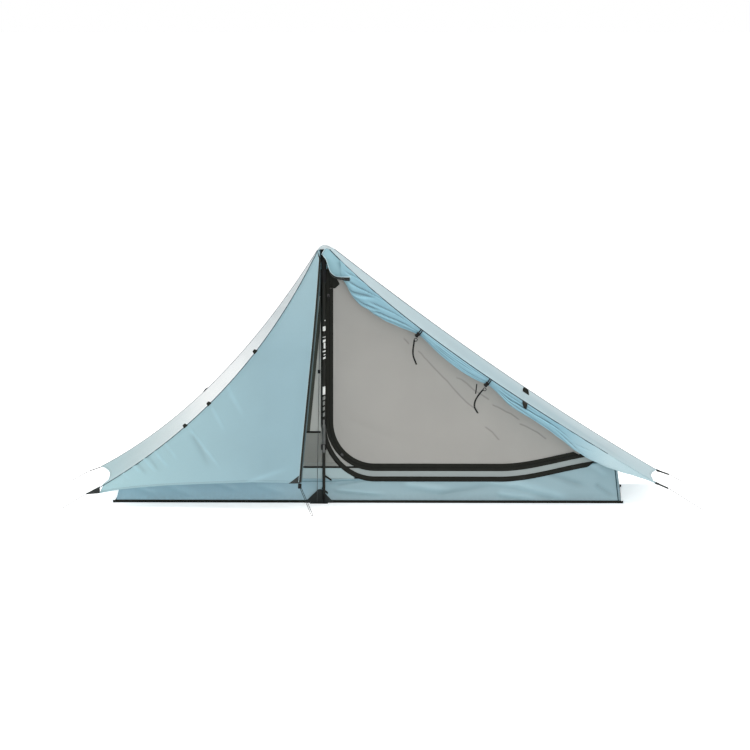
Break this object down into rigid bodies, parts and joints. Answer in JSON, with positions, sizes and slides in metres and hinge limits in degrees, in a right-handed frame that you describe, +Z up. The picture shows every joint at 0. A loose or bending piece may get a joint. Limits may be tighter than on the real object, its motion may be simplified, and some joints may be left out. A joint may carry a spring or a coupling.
{
  "type": "mountaineering tent",
  "caption": "Double-wall tent pitched on one trekking pole: fly with a shut door and a rolled door, hung inner with a zipped door, bathtub floor and guylines.",
  "frame": {"origin": "middle of the groundsheet's underside, on the ground", "axes": "+X along the groundsheet towards the low far end, +Z up; -Y is the door side"},
  "size_m": [2.9324, 1.8221, 1.1715],
  "materials": {
    "inner_floor": "coated ripstop",
    "bathtub_front_wall": "coated ripstop",
    "bathtub_rear_wall": "coated ripstop",
    "bathtub_left_wall": "coated ripstop",
    "bathtub_right_wall": "coated ripstop",
    "floor_hem": "woven webbing",
    "inner_front_panel": "light breathable nylon",
    "door_sill": "light breathable nylon",
    "inner_vent_strip": "fine insect mesh",
    "inner_door_header": "light breathable nylon",
    "door_frame_tape": "woven zip tape",
    "inner_front_tape": "woven seam tape",
    "inner_door": "light breathable nylon",
    "door_zip_tape": "woven zip tape",
    "zip_slider_upper": "coated die-cast slider",
    "zip_pull_upper": "cord pull",
    "zip_slider_lower": "coated die-cast slider",
    "inner_left_end": "light breathable nylon",
    "inner_right_end": "light breathable nylon",
    "inner_rear_wall": "light breathable nylon",
    "inner_apex_strap": "woven webbing",
    "fly_rear_panel": "coated ripstop",
    "fly_left_end_panel": "coated ripstop",
    "fly_right_end_panel": "coated ripstop",
    "fly_left_door": "coated ripstop",
    "fly_door_collar": "coated ripstop",
    "fly_apex_cap": "coated ripstop",
    "fly_apex_socket": "moulded cup",
    "ridge_tape_near_left": "woven seam tape",
    "ridge_tape_far_left": "woven seam tape",
    "ridge_tape_near_right": "woven seam tape",
    "ridge_tape_far_right": "woven seam tape",
    "fly_door_roll": "coated ripstop, rolled",
    "tie_loop_1": "braided elastic",
    "tie_tail_1": "braided cord",
    "tie_loop_2": "braided elastic",
    "tie_tail_2": "braided cord",
    "fly_patch_near_left": "woven patch",
    "fly_patch_far_left": "woven patch",
    "fly_patch_near_right": "woven patch",
    "fly_patch_far_right": "woven patch",
    "guyline_near_left": "braided cord",
    "guyline_far_left": "braided cord",
    "guyline_near_right": "braided cord",
    "guyline_far_right": "braided cord",
    "fly_door_patch": "woven patch",
    "door_line_lock": "moulded",
    "guyline_door": "braided cord",
    "tension_cord": "braided cord",
    "cord_lock": "moulded",
    "pole_grip": "foam grip",
    "pole_upper_shaft": "anodised tube",
    "pole_middle_shaft": "anodised tube",
    "pole_lower_shaft": "anodised tube",
    "pole_upper_clamp": "moulded",
    "pole_upper_lever": "moulded",
    "pole_lower_clamp": "moulded",
    "pole_lower_lever": "moulded",
    "pole_tip": "moulded",
    "pole_foot_patch": "woven patch"
  },
  "bodies": {
    "tent": {"inner_floor": "inner_floor", "bathtub_front_wall": "bathtub_front_wall", "bathtub_rear_wall": "bathtub_rear_wall", "bathtub_left_wall": "bathtub_left_wall", "bathtub_right_wall": "bathtub_right_wall", "floor_hem": "floor_hem", "inner_front_panel": "inner_front_panel", "door_sill": "door_sill", "inner_vent_strip": "inner_vent_strip", "inner_door_header": "inner_door_header", "door_frame_tape": "door_frame_tape", "inner_front_tape": "inner_front_tape", "inner_left_end": "inner_left_end", "inner_right_end": "inner_right_end", "inner_rear_wall": "inner_rear_wall", "inner_apex_strap": "inner_apex_strap", "fly_rear_panel": "fly_rear_panel", "fly_left_end_panel": "fly_left_end_panel", "fly_right_end_panel": "fly_right_end_panel", "fly_door_collar": "fly_door_collar", "fly_apex_cap": "fly_apex_cap", "fly_apex_socket": "fly_apex_socket", "ridge_tape_near_left": "ridge_tape_near_left", "ridge_tape_far_left": "ridge_tape_far_left", "ridge_tape_near_right": "ridge_tape_near_right", "ridge_tape_far_right": "ridge_tape_far_right", "fly_door_roll": "fly_door_roll", "tie_loop_1": "tie_loop_1", "tie_tail_1": "tie_tail_1", "tie_loop_2": "tie_loop_2", "tie_tail_2": "tie_tail_2", "fly_patch_near_left": "fly_patch_near_left", "fly_patch_far_left": "fly_patch_far_left", "fly_patch_near_right": "fly_patch_near_right", "fly_patch_far_right": "fly_patch_far_right", "guyline_near_left": "guyline_near_left", "guyline_far_left": "guyline_far_left", "guyline_near_right": "guyline_near_right", "guyline_far_right": "guyline_far_right", "tension_cord": "tension_cord", "pole_grip": "pole_grip", "pole_upper_shaft": "pole_upper_shaft", "pole_upper_clamp": "pole_upper_clamp", "pole_foot_patch": "pole_foot_patch"},
    "fly_left_door": {"fly_left_door": "fly_left_door", "fly_door_patch": "fly_door_patch", "door_line_lock": "door_line_lock", "guyline_door": "guyline_door"},
    "inner_door": {"inner_door": "inner_door", "door_zip_tape": "door_zip_tape"},
    "zip_slider_upper": {"zip_slider_upper": "zip_slider_upper"},
    "zip_pull_upper": {"zip_pull_upper": "zip_pull_upper"},
    "zip_slider_lower": {"zip_slider_lower": "zip_slider_lower"},
    "pole_middle": {"pole_middle_shaft": "pole_middle_shaft", "pole_lower_clamp": "pole_lower_clamp"},
    "pole_lower": {"pole_lower_shaft": "pole_lower_shaft", "pole_tip": "pole_tip"},
    "pole_upper_lever": {"pole_upper_lever": "pole_upper_lever"},
    "pole_lower_lever": {"pole_lower_lever": "pole_lower_lever"},
    "cord_lock": {"cord_lock": "cord_lock"}
  },
  "joints": [
    {"name": "fly_left_door_swing", "type": "hinge", "parent": "tent", "child": "fly_left_door", "pos_m": [-0.2225, -0.475, 1.1615], "axis": [-0.6723, -0.1188, -0.7307], "range_deg": [0, 75]},
    {"name": "inner_door_swing", "type": "hinge", "parent": "tent", "child": "inner_door", "pos_m": [-0.174, -0.4245, 0.9955], "axis": [-0.8258, 0, 0.564], "range_deg": [0, 65]},
    {"name": "zip_slider_upper_slide", "type": "slide", "parent": "tent", "child": "zip_slider_upper", "axis": [0, 0, -1], "range_m": [0, 0.45]},
    {"name": "zip_pull_upper_flip", "type": "hinge", "parent": "zip_slider_upper", "child": "zip_pull_upper", "pos_m": [-0.18, -0.4339, 0.945], "axis": [-1, 0, 0], "range_deg": [0, 150]},
    {"name": "zip_slider_lower_slide", "type": "hinge", "parent": "tent", "child": "zip_slider_lower", "pos_m": [0.032, -0.4286, 0.37], "axis": [0, 1, 0], "range_deg": [-40, 40]},
    {"name": "pole_middle_slide", "type": "slide", "parent": "tent", "child": "pole_middle", "axis": [0, 0, 1], "range_m": [0, 0.07]},
    {"name": "pole_lower_slide", "type": "slide", "parent": "pole_middle", "child": "pole_lower", "axis": [0, 0, 1], "range_m": [0, 0.17]},
    {"name": "pole_upper_lever_flip", "type": "hinge", "parent": "tent", "child": "pole_upper_lever", "pos_m": [-0.2, -0.4618, 0.381], "axis": [-1, 0, 0], "range_deg": [0, 110]},
    {"name": "pole_lower_lever_flip", "type": "hinge", "parent": "pole_middle", "child": "pole_lower_lever", "pos_m": [-0.2, -0.4618, 0.265], "axis": [-1, 0, 0], "range_deg": [0, 110]},
    {"name": "cord_lock_slide", "type": "slide", "parent": "tent", "child": "cord_lock", "axis": [0.0158, 0.0153, 0.9998], "range_m": [-0.2, 0.22]}
  ]
}
